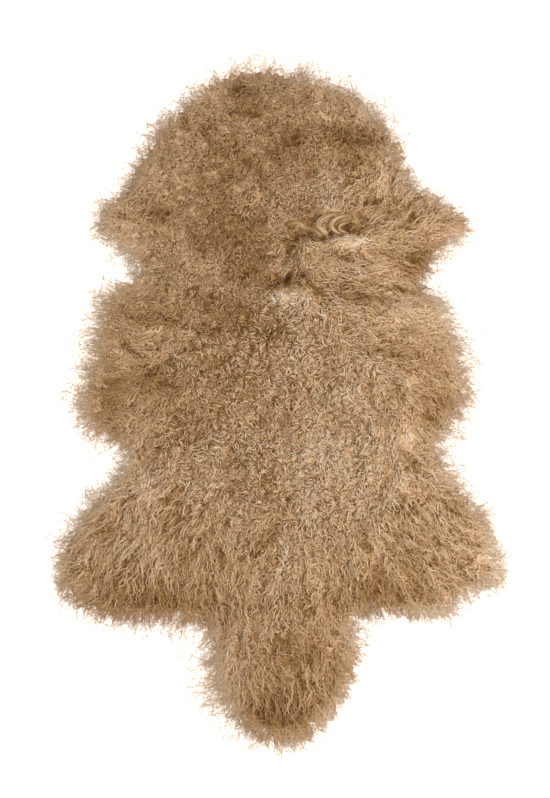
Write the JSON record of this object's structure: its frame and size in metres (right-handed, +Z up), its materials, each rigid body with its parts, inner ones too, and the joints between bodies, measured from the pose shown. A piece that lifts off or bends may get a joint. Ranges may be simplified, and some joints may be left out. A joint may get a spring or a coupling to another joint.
{
  "type": "sheepskin rug",
  "caption": "Whole sheepskin rug lying flat, wool side up: neck, leg flaps and tail, with long curly tan wool over a flat skin side and loose locks all round the rim.",
  "frame": {"origin": "middle of the rug's box seen from above, on the floor that its flat skin side lies on", "axes": "+Y from the tail to the neck, along the back; +X across the back, to the right in the picture; +Z up out of the wool"},
  "size_m": [0.6316, 0.9608, 0.0538],
  "materials": {
    "wool": "matte",
    "skin": "matte"
  },
  "bodies": {
    "root": {"sheepskin": "wool"}
  },
  "joints": []
}
